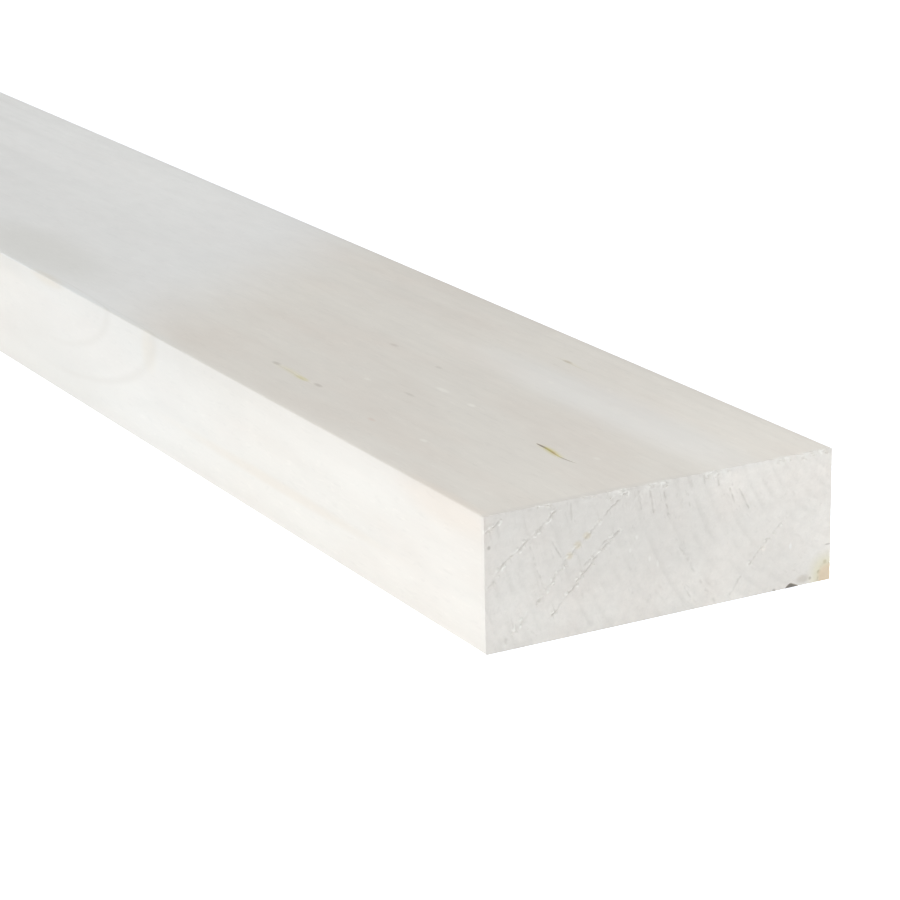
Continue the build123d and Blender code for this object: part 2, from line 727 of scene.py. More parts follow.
    def section(self, size: float) -> tuple[np.ndarray, dict]:
        """The planed section's outline, from the top left round by the right.

        Args:
            size: The step along its flats.

        Returns:
            Rows of in and down, and the rows that each flat side starts and ends on.
        """
        arris, width, thickness = self.arris, self.width, self.thickness
        far, low = width - arris, thickness - arris
        flats = {
            Patch.TOP: ((arris, 0), (far, 0)),
            Patch.RIGHT: ((width, arris), (width, low)),
            Patch.UNDERSIDE: ((far, thickness), (arris, thickness)),
            Patch.LEFT: ((0, low), (0, arris)),
        }
        centres = ((far, arris), (far, low), (arris, low), (arris, arris))
        rows, spans = [], {}
        for turn, (patch, (start, end)) in enumerate(flats.items()):
            steps = max(2, round(math.dist(start, end) / size))
            spans[patch] = (len(rows), len(rows) + steps)
            rows += [np.array(start) + (np.array(end) - start) * i / steps for i in range(steps + 1)]
            for step in range(1, self.arris_steps):
                angle = math.radians(90 * (turn - 1 + step / self.arris_steps))
                rows.append(np.array(centres[turn]) + arris * np.array([math.cos(angle), math.sin(angle)]))
        return np.array(rows), spans

    def mesh_parts(self) -> tuple[Rows, list, list]:
        """Lay out every surface before its relief.

        Returns:
            The points, the faces, and the patch of each face.
        """
        places, faces, patches = [], [], []

        def keep(points: Rows, polygons: list, patch: Patch) -> None:
            """Add one surface's points and faces."""
            start = sum(len(p) for p in places)
            places.append(points)
            faces.extend([[start + i for i in face] for face in polygons])
            patches.extend([patch] * len(polygons))

        outlines = {}
        for patch, back, size in (
            (Patch.SHOW_END, 0.0, self.end_size),
            (Patch.FAR_END, self.length, self.far_end_size),
        ):
            rim, flats = self.section(size)

            def on_end(points: np.ndarray) -> Rows:
                """Places on the plank for points of this end."""
                return np.insert(points, 0, back, axis=1)

            def wanted(points: np.ndarray) -> Values:
                """Mesh size on this end."""
                return self.end_wanted(on_end(points)) if back == 0 else np.full(len(points), size)

            points, polygons = self.fill(rim, self.squares((self.width, self.thickness), wanted))
            keep(on_end(points), polygons, patch)
            outlines[patch] = (rim, flats)
        self.long_faces(outlines, keep)
        merged, index = np.unique(np.round(np.concatenate(places), DECIMALS), axis=0, return_inverse=True)
        index = index.reshape(-1)
        return merged, [[int(index[i]) for i in face] for face in faces], patches

    def long_faces(self, outlines: dict, keep: Callable) -> None:
        """Lay out the four planed faces and the arrises between them.

        Args:
            outlines: The section's rows and flats at each end.
            keep: Takes a surface's points, faces and patch.
        """
        backs = self.stations()
        near_rim, near_flats = outlines[Patch.SHOW_END]
        far_rim, far_flats = outlines[Patch.FAR_END]
        arris_patches = (Patch.TOP, Patch.UNDERSIDE, Patch.UNDERSIDE, Patch.TOP)
        for patch, arris_patch in zip(near_flats, arris_patches):
            near = near_rim[near_flats[patch][0] : near_flats[patch][1] + 1]
            far = far_rim[far_flats[patch][0] : far_flats[patch][1] + 1]
            start, along = near[0], near[-1] - near[0]
            span = float(np.linalg.norm(along))
            along = along / span

            def on_face(points: np.ndarray) -> Rows:
                """Places on the plank for points of back and across."""
                return np.column_stack([points[:, 0], start + points[:, 1:] * along])

            def wanted(points: np.ndarray) -> Values:
                """Mesh size on this face."""
                return self.face_wanted(on_face(points))

            rim = [(0.0, a) for a in (near - start) @ along] + [(b, span) for b in backs[1:-1]]
            rim += [(self.length, a) for a in ((far - start) @ along)[::-1]]
            rim += [(b, 0.0) for b in backs[-2:0:-1]]
            points, polygons = self.fill(np.array(rim), self.squares((self.length, span), wanted))
            keep(on_face(points), polygons, patch)
            corner = near_flats[patch][1]
            ring = near_rim[[(corner + i) % len(near_rim) for i in range(self.arris_steps + 1)]]
            strip = np.array([(back, *row) for back in backs for row in ring])
            wide = self.arris_steps + 1
            quads = [
                [i * wide + j, (i + 1) * wide + j, (i + 1) * wide + j + 1, i * wide + j + 1]
                for i in range(len(backs) - 1)
                for j in range(self.arris_steps)
            ]
            keep(strip, quads, arris_patch)

    def end_depth(self, places: Rows) -> tuple[Values, dict[Mask, Values]]:
        """Relief of the show end, as depth behind the saw's plane.

        Args:
            places: Where on the plank.

        Returns:
            A depth for each place, and the masks that go with it.
        """
        flat = places.copy()
        flat[:, 0] = 0
        across, down = flat[:, 1], flat[:, 2]
        diagonal = 0.707
        slanted = np.stack([(across + down) * diagonal, (across - down) * diagonal, flat[:, 0]], 1)
        depth = self.saw_ripple.at(slanted) + self.end_lumps.at(flat)
        depth = depth + self.end_grit.at(flat)
        from_pith = np.hypot(across - self.pith_across, down - self.pith_down)
        turn = np.arctan2(down - self.pith_down, self.pith_across - across) * from_pith.mean()
        dashes = self.ring_dashes.share(np.stack([from_pith, turn, flat[:, 0]], 1))
        depth = depth + self.dash_depth * dashes
        lumps = self.torn_lumps.share(flat)
        torn = np.zeros(len(places))
        for patch in self.torn_patches:
            torn = np.maximum(torn, patch.share(flat) * lumps)
        nibbled = self.end_nibbles.share(flat) * fade(down, self.end_nibble_reach)
        depth = depth + self.end_nibble_depth * nibbled
        depth = depth + self.torn_depth * torn * np.sign(self.torn_sides.at(flat))
        # Openings along the rings darken too, partly as painted shade
        sawn = self.dash_shown * dashes
        for mark in (*self.saw_marks, *self.ring_lines):
            cut, dark, lifted = mark.relief(flat)
            depth = depth + cut
            sawn = np.maximum(sawn, dark)
            torn = np.maximum(torn, lifted)
        seam = self.knot.bark_seam(self.width - across, self.thickness - down, flat[:, 0])
        depth = depth + self.knot.seam_depth * seam
        return depth, {Mask.SAWN: sawn, Mask.TORN: torn, Mask.BARK: seam}

    def top_depth(self, places: Rows) -> tuple[Values, dict[Mask, Values]]:
        """Relief of the top face, as depth below the planed surface.

        Args:
            places: Where on the plank.

        Returns:
            A depth for each place, and the masks that go with it.
        """
        flat = places.copy()
        flat[:, 2] = 0
        nibbled = np.clip(self.top_nibbles.at(flat) + self.small_nibbles.at(flat), 0, 1)
        depth = self.top_nibble_depth * nibbled * fade(flat[:, 0], self.top_nibble_reach)
        pitch, along, halo = np.zeros((3, len(places)))
        for pocket in self.pockets:
            shape = pocket.shape(flat)
            depth = depth + pocket.depth * shape
            pitch = np.maximum(pitch, shape * pocket.resin)
            along = np.where(shape > 0, pocket.across(flat)[1], along)
            halo = np.maximum(halo, pocket.stain(flat))
        return depth, {Mask.PITCH: pitch, Mask.PITCH_ALONG: along, Mask.HALO: halo}

    def relief(self, places: Rows) -> tuple[Rows, dict[Mask, Values]]:
        """Shift every point by the relief of the face in front of it.

        Args:
            places: Points of the planed shape.

        Returns:
            The shifted points, and every mask.
        """
        shifted = places.copy()
        masks = {mask: np.zeros(len(places)) for mask in Mask}
        for axis, depth_of in ((0, self.end_depth), (2, self.top_depth)):
            near = places[:, axis] < self.reach
            depth, found = depth_of(places[near])
            shifted[near, axis] += depth * fade(places[near, axis], self.reach)
            for mask, values in found.items():
                masks[mask][near] = values * fade(places[near, axis], self.mask_reach)
        right, up = self.width - places[:, 1], self.thickness - places[:, 2]
        splinter = self.splinter
        lift = splinter.lift(right, places[:, 0])
        shifted[:, 2] -= lift * np.clip(1 - up / (splinter.pull * splinter.height), 0, 1)
        # Painted shade in the torn hollow: it takes the bark colour
        hollow = np.clip(lift / splinter.dark_height, 0, 1) * fade(up, splinter.dark_height)
        masks[Mask.BARK] = np.maximum(masks[Mask.BARK], hollow)
        radius = self.knot.radius(right, up, places[:, 0])
        masks[Mask.KNOT] = self.knot.wood(radius)
        masks[Mask.HALO] = np.maximum(masks[Mask.HALO], self.knot.stain(radius))
        from_corner = np.linalg.norm(places, axis=1)
        shifted += (self.corner_wear * fade(from_corner, self.corner_reach))[:, None]
        on_end = np.minimum(places[:, 0], self.length - places[:, 0]) < TINY
        masks[Mask.END_GRAIN] = on_end.astype(float)
        return shifted, masks

    def map_place(self, patch: Patch, place: np.ndarray) -> tuple[float, float]:
        """Place a point of a patch on the texture map, with more room near the show end.

        Args:
            patch: The patch that the point's face belongs to.
            place: Back, in and down.

        Returns:
            The two map coordinates.
        """
        back, across, down = place
        # Where each long face begins and ends across the map, and where each end begins and how wide it is
        bands = {
            Patch.TOP: (0.01, 0.405),
            Patch.LEFT: (0.425, 0.56),
            Patch.UNDERSIDE: (0.58, 0.73),
            Patch.RIGHT: (0.75, 0.81),
        }
        ends = {Patch.SHOW_END: (0.01, 0.475), Patch.FAR_END: (0.51, 0.35)}
        if patch in ends:
            start, wide = ends[patch]
            return start + wide * across / self.width, self.map_end + wide * down / self.width
        squeezed = [1 - (1 + run / self.map_squeeze) ** -0.5 for run in (back, self.length)]
        along = self.map_edge + (1 - 2 * self.map_edge) * (squeezed[0] / squeezed[1])
        low, high = bands[patch]
        if patch in (Patch.LEFT, Patch.RIGHT):
            return along, low + (high - low) * down / self.thickness
        over = down if patch is Patch.TOP else self.thickness - down
        edge = min(max(across, self.arris), self.width - self.arris)
        turned = across + math.copysign(over, across - edge) * (across != edge)
        return along, low + (high - low) * (turned + self.map_margin) / (self.width + 2 * self.map_margin)

    def build(self) -> Object:
        """Make the plank's mesh with its masks and texture map.

        Returns:
            The plank's object.
        """
        places, faces, patches = self.mesh_parts()
        shifted, masks = self.relief(places)
        mesh = bpy.data.meshes.new("planed_plank")
        mesh.from_pydata(self.to_frame(shifted).tolist(), [], faces)
        texture_map = mesh.uv_layers.new(name="OFBake")
        spots = [self.map_place(patch, places[i]) for face, patch in zip(faces, patches) for i in face]
        texture_map.data.foreach_set("uv", np.array(spots, np.float32).ravel())
        for mask, values in masks.items():
            layer = mesh.attributes.new(mask.value, "FLOAT", "POINT")
            layer.data.foreach_set("value", values.astype(np.float32))
        form = bmesh.new()
        form.from_mesh(mesh)
        bmesh.ops.recalc_face_normals(form, faces=form.faces)
        form.to_mesh(mesh)
        form.free()
        mesh.polygons.foreach_set("use_smooth", np.ones(len(mesh.polygons), bool))
        mesh.set_sharp_from_angle(angle=math.radians(self.sharp_angle))
        plank = bpy.data.objects.new("planed_plank", mesh)
        bpy.context.scene.collection.objects.link(plank)
        return plank


@dataclass(frozen=True)
class LightShadeBand:
    """Painted light and shade: a lighter or darker stretch along the plank."""

    from_edge: float
    half_width: float
    near: float
    far: float
    lift: float  # share of brightness added in its middle
    firm_share: float = 0.3  # share of its half sizes over which it has its full strength


@dataclass(frozen=True)
class Mottle:
    """Light and dark flecks: noise of a set lump size that shades the wood."""

    lumps: Size3  # along the grain, across it and up
    span: tuple[float, float]  # the two ends of the noise that are used
    levels: tuple[float, float]  # the brightness at each of them
    detail: float = 2.0


@dataclass(frozen=True)
class Spot:
    """An oval place in the wood."""

    back: float
    across: float
    down: float
    half_sizes: Size3


@dataclass(frozen=True)
class GrainEddy(Spot):
    """A place where the rings bend round a branch that the plank doesn't hold."""

    push: float  # how far the rings are pushed outward


@dataclass(frozen=True)
class RingArc(Spot):
    """A growth ring bent round a branch, which the left face cuts as an arc."""

    line: float  # half the line's breadth, as a share of the half sizes
    strength: float


@dataclass(frozen=True)
class ColourSpot(Spot):
    """A small soft spot of another colour: resin marks and tone in the wood, and painted highlight, shade
    and light.
    """

    colour: str
    strength: float


@dataclass(frozen=True)
class PlanedWhitewood:
    """Planed, unfinished spruce."""

    early: str = "#EAE4DA"
    late: str = "#D9D3C9"
    warm: str = "#E7DED3"
    sap: str = "#EFEFED"  # painted sheen: the top face greyer and paler past an oblique line, as a grazing reflection of the bright surround
    # Pale torn fibres; beside the saw scores this colour is partly painted highlight
    torn: str = "#F8F5EC"
    # Darker torn wood in the scores and ring openings, partly painted shade in their grooves
    score: str = "#8D8478"
    amber: str = "#C2B66E"
    pitch: str = "#918379"
    crust: str = "#BFB7AB"  # dried resin in a slit's thin tail
    rust: str = "#C2A87C"
    halo: str = "#DDD391"
    knot: str = "#E6D3B6"
    # Bark, and the painted shade in the splinter's torn hollow
    bark: str = "#958873"
    torn_share: float = 0.9
    score_share: float = 0.22
    ring_spacing: float = 3.6
    ring_shift: float = 0.8  # brings the rings in step with those that have opened on the show end
    ring_waver: float = 3.5
    waver_lumps: Size3 = (260.0, 30.0, 30.0)  # slow: long along the grain, short across it
    ring_tones: Pairs = ((0.0, 0.3), (1.0, 0.3), (0.14, 0.0), (0.55, 0.1), (0.88, 1.0))  # early to late
    ring_least: float = 0.3  # the faintest ring, as a share of the darkest
    top_contrast: float = 0.12
    side_contrast: float = 0.26
    end_contrast: float = 0.75
    patch_size: float = 5.5  # of the patches that the rings break into on the ends
    patch_span: tuple[float, float] = (0.32, 0.6)
    strong_depths: tuple[float, float] = (18.0, 2.0)  # the rings gain strength from this depth to that
    low_share: float = 0.8
    end_grey: Size3 = (1.01, 1.02, 1.035)  # end grain is greyer than the planed faces
    warm_lumps: Size3 = (60.0, 15.0, 15.0)
    warm_span: tuple[float, float] = (0.42, 0.66)
    warm_share: float = 0.6
    heart_edge: float = 194.0  # how far back the painted sheen begins along the left edge
    heart_lean: float = 0.58  # how much further it reaches for each millimetre in
    heart_sink: float = 200.0  # how much further it reaches for each millimetre down
    heart_soft: float = 34.0
    sap_share: float = 0.7
    sap_end: float = 780.0  # past this the painted sheen fades out again
    sap_fade: float = 430.0
    streak_start: float = 330.0  # nearer the show end the wood is plain
    streak_fade: float = 260.0
    stain_firm: float = 0.25  # share of a spot's half sizes over which it has its full strength
    arc_fade: float = 24.0  # the bent rings die out over this length at their far side
    ior: float = 1.45
    roughness: float = 0.48
    roughness_swing: float = 0.08
    resin_gloss: float = -0.25  # resin is smoother than the wood
    fibre_lumps: Size3 = (9.0, 0.9, 0.9)  # fibres are too fine to show, so they are drawn this coarse
    fibre_height: float = 0.04
    fibre_strength: float = 0.5
    late_rise: float = 0.4  # latewood stands proud of the earlywood
    # Lump sizes, span of the noise, levels and detail
    mottles: tuple[Mottle, ...] = (
        Mottle((9.0, 0.9, 0.9), (0.3, 0.7), (0.99, 1.01)),
        Mottle((14.0, 5.0, 5.0), (0.3, 0.7), (0.985, 1.015)),
        Mottle((4.0, 0.9, 0.9), (0.64, 0.72), (1.0, 1.024), 1),
        Mottle((4.5, 0.8, 0.9), (0.36, 0.28), (1.0, 0.972), 1),
    )
    end_mottles: tuple[Mottle, ...] = (
        Mottle((2.3, 2.3, 2.3), (0.3, 0.7), (0.975, 1.025)),
        Mottle((0.9, 0.9, 0.9), (0.3, 0.7), (0.985, 1.015)),
        Mottle((0.8, 0.7, 0.7), (0.64, 0.74), (1.0, 1.045)),
    )
    # Growth streaks, drawn broader than the rings are, so that they still show from across a room
    streaks: tuple[Mottle, ...] = (
        Mottle((420.0, 9.0, 9.0), (0.35, 0.65), (0.94, 1.03)),
        Mottle((170.0, 4.0, 4.0), (0.35, 0.65), (0.965, 1.02)),
    )
    # Painted light and shade along the plank: lighter at the near end, near the right edge and far back,
    # darker between. In from the edge, half width, near end, far end and lift
    bands: tuple[LightShadeBand, ...] = (
        LightShadeBand(65.0, 6.0, -60.0, 175.0, 0.035),
        LightShadeBand(80.0, 30.0, -90.0, 165.0, 0.035),
        LightShadeBand(47.0, 90.0, -50.0, 42.0, 0.03),
        LightShadeBand(79.0, 4.5, 120.0, 240.0, -0.02),
        LightShadeBand(47.0, 110.0, 30.0, 235.0, -0.022),
        LightShadeBand(90.0, 34.0, 150.0, 270.0, -0.015),
        LightShadeBand(88.0, 46.0, 225.0, 620.0, 0.045),
        LightShadeBand(82.0, 30.0, -90.0, 80.0, 0.035),
    )
    # Each of these starts with its place, as back, in and down, and its half sizes
    eddies: tuple[GrainEddy, ...] = (GrainEddy(265.0, 0.0, 12.0, (86.0, 60.0, 60.0), -7.0),)
    arcs: tuple[RingArc, ...] = (
        RingArc(266.0, 0.0, 0.0, (86.0, 2.5, 26.5), 0.055, 0.36),
        RingArc(266.0, 0.0, 0.0, (54.0, 2.5, 18.5), 0.075, 0.3),
    )
    stains: tuple[ColourSpot, ...] = (
        ColourSpot(184.0, 0.0, 5.0, (7.0, 3.0, 9.0), "#E3CBA2", 0.16),
        ColourSpot(257.0, 0.0, 0.5, (16.0, 3.0, 3.0), "#E0C9A4", 0.25),
        ColourSpot(18.0, 0.0, 3.0, (32.0, 4.0, 7.0), "#EDD8C4", 0.3),
        ColourSpot(108.0, 0.0, 22.0, (84.0, 4.0, 2.2), "#E2D5C3", 0.36),
        ColourSpot(215.0, 0.0, 14.0, (105.0, 4.0, 44.0), "#E0E3E2", 0.22),
        ColourSpot(292.0, 10.0, 0.0, (70.0, 20.0, 10.0), "#D8D5CC", 0.4),
        ColourSpot(265.0, 0.0, 30.0, (80.0, 5.0, 26.0), "#D9D4CB", 0.5),
        ColourSpot(75.0, 0.0, 5.0, (62.0, 5.0, 9.0), "#F6F1E8", 0.3),
        ColourSpot(0.0, 48.0, 15.5, (3.0, 64.0, 13.0), "#D6D1C9", 0.32),
        ColourSpot(0.0, 78.0, 27.0, (3.0, 24.0, 10.0), "#D9D4CC", 0.35),
        # Painted light: a paler, greyer stretch near the right edge of the top face
        ColourSpot(55.0, 68.0, 0.0, (90.0, 13.0, 2.0), "#F0F0EE", 0.35),
        ColourSpot(79.0, 13.6, 0.0, (2.5, 0.9, 1.0), "#D9BFAE", 0.3),
        ColourSpot(137.3, 16.2, 0.0, (3.0, 1.1, 1.0), "#A0978B", 0.34),
        ColourSpot(113.0, 16.1, 0.0, (3.0, 1.0, 1.0), "#A69C90", 0.4),
        ColourSpot(121.0, 15.5, 0.0, (5.0, 1.3, 1.0), "#D8CF94", 0.5),
        ColourSpot(97.0, 80.9, 0.0, (3.0, 0.9, 1.0), "#A8968A", 0.4),
        # Painted highlight and shade of small tear-outs in the top face: pale flecks for their lit sides,
        # grey ones for their shaded sides
        ColourSpot(92.0, 40.8, 0.0, (4.5, 1.2, 1.0), "#FAF6EC", 0.5),
        ColourSpot(76.3, 40.3, 0.0, (2.4, 1.1, 1.0), "#FAF6EC", 0.55),
        ColourSpot(57.0, 16.1, 0.0, (2.2, 1.0, 1.0), "#F8F4EA", 0.5),
        ColourSpot(111.0, 29.3, 0.0, (2.2, 0.9, 1.0), "#F8F4EA", 0.4),
        ColourSpot(22.5, 43.6, 0.0, (2.0, 0.9, 1.0), "#F8F4EA", 0.4),
        ColourSpot(83.0, 67.4, 0.0, (2.0, 0.9, 1.0), "#F8F4EA", 0.4),
        ColourSpot(93.0, 31.8, 0.0, (3.5, 0.8, 1.0), "#BFB8AC", 0.35),
        ColourSpot(110.6, 50.0, 0.0, (2.2, 0.9, 1.0), "#BFB8AC", 0.35),
        ColourSpot(136.0, 50.5, 0.0, (2.8, 1.1, 1.0), "#BFB4A8", 0.35),
        # Darker over the upper part of the show end
        ColourSpot(0.0, 26.0, 0.0, (3.0, 48.0, 17.0), "#DDD8D0", 0.45),
        ColourSpot(0.0, 87.1, 31.5, (2.0, 2.6, 1.5), "#BFB3A2", 0.45),
        ColourSpot(0.0, 89.2, 31.7, (1.0, 0.6, 0.6), "#9F9385", 0.5),
        ColourSpot(0.0, 78.8, 32.8, (1.0, 0.7, 0.6), "#A69E92", 0.6),
        ColourSpot(0.0, 94.3, 24.0, (1.0, 1.3, 0.28), "#A79F96", 0.5),
        ColourSpot(0.0, 1.2, 7.6, (1.0, 0.6, 0.7), "#A1988C", 0.5),
        ColourSpot(0.0, 26.9, 9.4, (1.0, 1.5, 1.3), "#D8C592", 0.3),
        ColourSpot(0.0, 24.4, 11.2, (1.0, 1.5, 1.4), "#D8C592", 0.3),
        ColourSpot(0.0, 22.2, 13.4, (1.0, 1.4, 1.3), "#DCCB9E", 0.3),
        ColourSpot(0.0, 75.6, 21.6, (1.0, 0.9, 1.0), "#FBF3E8", 0.7),
        ColourSpot(0.0, 38.5, 15.2, (1.0, 0.5, 0.8), "#FBF8F0", 0.4),
        ColourSpot(0.0, 40.3, 12.3, (1.0, 0.6, 0.8), "#FBF8F0", 0.4),
        ColourSpot(0.0, 43.8, 18.2, (1.0, 0.5, 1.0), "#FBF8F0", 0.4),
        ColourSpot(0.0, 46.0, 19.8, (1.0, 0.5, 1.2), "#FBF8F0", 0.4),
        ColourSpot(0.0, 91.9, 30.6, (3.0, 1.0, 0.8), "#A3906E", 0.45),
        ColourSpot(0.0, 93.5, 28.3, (3.0, 0.8, 0.8), "#A6936F", 0.4),
        ColourSpot(0.0, 83.4, 22.5, (1.0, 0.6, 1.1), "#FAF8F3", 0.6),
    )


class WoodPainter:
    """Draws the wood's material on the plank, node by node."""

    def __init__(self, wood: PlanedWhitewood, plank: Plank) -> None:
        """Start the material, with the masks and the place on the plank in millimetres.

        Args:
            wood: The finish.
            plank: The plank that wears it.
        """
        self.wood = wood
        self.plank = plank
        # Spruce, planed and left bare: pale and dry, with a soft sheen along the grain and faint ring lines;
        # its colour also carries painted sheen, light and shade
        self.material = bpy.data.materials.new("planed spruce whitewood")
        self.material.use_nodes = True
        self.tree = self.material.node_tree
        self.add = partial(add_node, self.tree)
        self.masks = {
            mask: self.add("ShaderNodeAttribute", output="Fac", attribute_name=mask.value) for mask in Mask
        }
        self.end_grain = self.masks[Mask.END_GRAIN]
        where = self.add("ShaderNodeTexCoord", output="Object")
        self.place = self.add(VECTOR, {0: where, "Scale": 1 / MM}, operation="SCALE")
        parts = self.add("ShaderNodeSeparateXYZ", {0: self.place}).node.outputs
        self.along, self.across, self.height = parts

    def layered(self, colour: Colour, layers: list[tuple[Colour, NodeSocket | float]]) -> NodeSocket:
        """Lay colours over one another.

        Args:
            colour: The lowest colour.
            layers: The colours that come over it in turn, each with its share.

        Returns:
            The colour that shows.
        """
        for top, share in layers:
            below, above = (linear(c) if isinstance(c, str) else c for c in (colour, top))
            blend = {"Factor": share, "A": below, "B": above}
            colour = self.add("ShaderNodeMix", blend, "Result", data_type="RGBA")
        return colour

    def lumpy(self, lumps: Size3, detail: float) -> NodeSocket:
        """A pattern of a set lump size in millimetres, from about 0.2 to 0.8."""
        scaled = self.add(VECTOR, {0: self.place, 1: lumps}, operation="DIVIDE")
        return self.add("ShaderNodeTexNoise", {"Vector": scaled, "Scale": 1, "Detail": detail})

    def mottled(self, colour: NodeSocket, mottle: Mottle) -> NodeSocket:
        """Darken and lighten a colour by a pattern.

        Args:
            colour: The colour so far.
            mottle: The pattern and its levels.

        Returns:
            The shaded colour.
        """
        level = {"Value": self.lumpy(mottle.lumps, mottle.detail)}
        level |= {"From Min": mottle.span[0], "From Max": mottle.span[1]}
        level |= {"To Min": mottle.levels[0], "To Max": mottle.levels[1]}
        return self.add(VECTOR, {0: colour, 1: self.add(RANGE, level)}, operation="MULTIPLY")

    def away(self, spot: Spot) -> NodeSocket:
        """Measure from a spot.

        Args:
            spot: The spot.

        Returns:
            The distance in its half sizes, 1 at its edge.
        """
        middle = self.plank.node_place(spot.back, spot.across, spot.down)
        off = self.add(VECTOR, {0: self.place, 1: middle}, operation="SUBTRACT")
        scaled = self.add(VECTOR, {0: off, 1: spot.half_sizes}, operation="DIVIDE")
        return self.add(VECTOR, {0: scaled}, "Value", operation="LENGTH")

    def rings(self) -> NodeSocket:
        """Growth rings round the pith, pushed aside at each eddy.

        Returns:
            The latewood share, from 0 to 1.
        """
        wood, plank = self.wood, self.plank
        pith = plank.node_place(0, plank.pith_across, plank.pith_down)
        from_pith = self.add(VECTOR, {0: self.place, 1: pith}, operation="SUBTRACT")
        flat = self.add(VECTOR, {0: from_pith, 1: (0, 1, 1)}, operation="MULTIPLY")
        radius = self.add(VECTOR, {0: flat}, "Value", operation="LENGTH")
        moved = self.add(MATH, {0: radius, 1: wood.ring_shift}, operation="ADD")
        waver = {0: self.lumpy(wood.waver_lumps, detail=2), 1: wood.ring_waver, 2: moved}
        reach = self.add(MATH, waver, operation="MULTIPLY_ADD")
        for eddy in wood.eddies:
            push = self.add(RANGE, {"Value": self.away(eddy), "To Min": eddy.push, "To Max": 0})
            reach = self.add(MATH, {0: reach, 1: push}, operation="ADD")
        count = self.add(MATH, {0: reach, 1: wood.ring_spacing}, operation="DIVIDE")
        share = self.add(MATH, {0: count}, operation="FRACT")
        tones = tuple((position, (tone, tone, tone, 1)) for position, tone in wood.ring_tones)
        ring = self.add(RAMP, {"Fac": share}, stops=tones)
        number = self.add(MATH, {0: count}, operation="FLOOR")
        chance = self.add("ShaderNodeTexWhiteNoise", {"W": number}, "Value", noise_dimensions="1D")
        spread = {0: chance, 1: 1 - wood.ring_least, 2: wood.ring_least}
        weight = self.add(MATH, spread, operation="MULTIPLY_ADD")
        return self.add(MATH, {0: ring, 1: weight}, operation="MULTIPLY")

    def contrast(self) -> NodeSocket:
        """How strongly the rings show: faint on the wide faces, broken up on the sawn ends.

        Returns:
            The share of the latewood's colour.
        """
        wood, thickness = self.wood, self.plank.thickness
        facing = self.add("ShaderNodeNewGeometry", output="True Normal")
        upward = self.add("ShaderNodeSeparateXYZ", {0: facing}, "Z")
        flat = self.add(MATH, {0: upward}, operation="ABSOLUTE")
        sides = {"Value": flat, "To Min": wood.side_contrast, "To Max": wood.top_contrast}
        long_faces = self.add(RANGE, sides)
        patchy = {"Value": self.lumpy((wood.patch_size,) * 3, detail=1)}
        broken = self.add(RANGE, patchy | {"From Min": wood.patch_span[0], "From Max": wood.patch_span[1]})
        low, high = (thickness - depth for depth in wood.strong_depths)
        upper = {"Value": self.height, "From Min": low, "From Max": high, "To Min": wood.low_share}
        shown = self.add(MATH, {0: broken, 1: self.add(RANGE, upper)}, operation="MULTIPLY")
        ends = self.add(MATH, {0: shown, 1: wood.end_contrast}, operation="MULTIPLY")
        both = {"Factor": self.end_grain, "A": long_faces, "B": ends}
        return self.add("ShaderNodeMix", both, "Result", data_type="FLOAT")

    def sapwood(self) -> NodeSocket:
        """Find the painted sheen: greyer, paler wood past an oblique line, on the top face.

        Returns:
            Its share, from 0 to 1.
        """
        wood, plank = self.wood, self.plank
        lean = (-1.0, -wood.heart_lean, wood.heart_sink)
        slope = self.add(VECTOR, {0: self.place, 1: lean}, "Value", operation="DOT_PRODUCT")
        edge = float(np.dot(plank.node_place(wood.heart_edge, 0, 0), lean))
        soft = {"Value": slope, "From Min": edge - wood.heart_soft, "From Max": edge + wood.heart_soft}
        past = self.add(RANGE, soft | {"To Max": wood.sap_share}, interpolation_type="SMOOTHSTEP")
        end = plank.node_place(wood.sap_end, 0, 0)[0]
        there = self.add(RANGE, {"Value": self.along, "From Min": end - wood.sap_fade, "From Max": end})
        return self.add(MATH, {0: past, 1: there}, operation="MULTIPLY")

    def stripes(self, colour: NodeSocket) -> NodeSocket:
        """Paint light and shade along each band.

        Args:
            colour: The wood's colour so far.

        Returns:
            The colour with its bands.
        """
        for band in self.wood.bands:
            x, y, _ = self.plank.node_place((band.near + band.far) / 2, band.from_edge, 0)
            shares = []
            for socket, middle, half in (
                (self.along, x, (band.far - band.near) / 2),
                (self.across, y, band.half_width),
            ):
                gap = self.add(MATH, {0: socket, 1: middle}, operation="SUBTRACT")
                span = self.add(MATH, {0: gap}, operation="ABSOLUTE")
                edges = {"Value": span, "From Min": band.firm_share * half, "From Max": half}
                edges |= {"To Min": 1, "To Max": 0}
                shares.append(self.add(RANGE, edges, interpolation_type="SMOOTHSTEP"))
            both = self.add(MATH, dict(enumerate(shares)), operation="MULTIPLY")
            gain = self.add(MATH, {0: both, 1: band.lift, 2: 1.0}, operation="MULTIPLY_ADD")
            colour = self.add(VECTOR, {0: colour, 1: gain}, operation="MULTIPLY")
        return colour

    def clear_wood(self, late: NodeSocket) -> NodeSocket:
        """Colour of the wood without its defects.

        Args:
            late: The latewood share.

        Returns:
            The colour.
        """
        wood = self.wood
        ring = self.add(MATH, {0: late, 1: self.contrast()}, operation="MULTIPLY")
        warmth = {"Value": self.lumpy(wood.warm_lumps, detail=3), "To Max": wood.warm_share}
        warmth |= {"From Min": wood.warm_span[0], "From Max": wood.warm_span[1]}
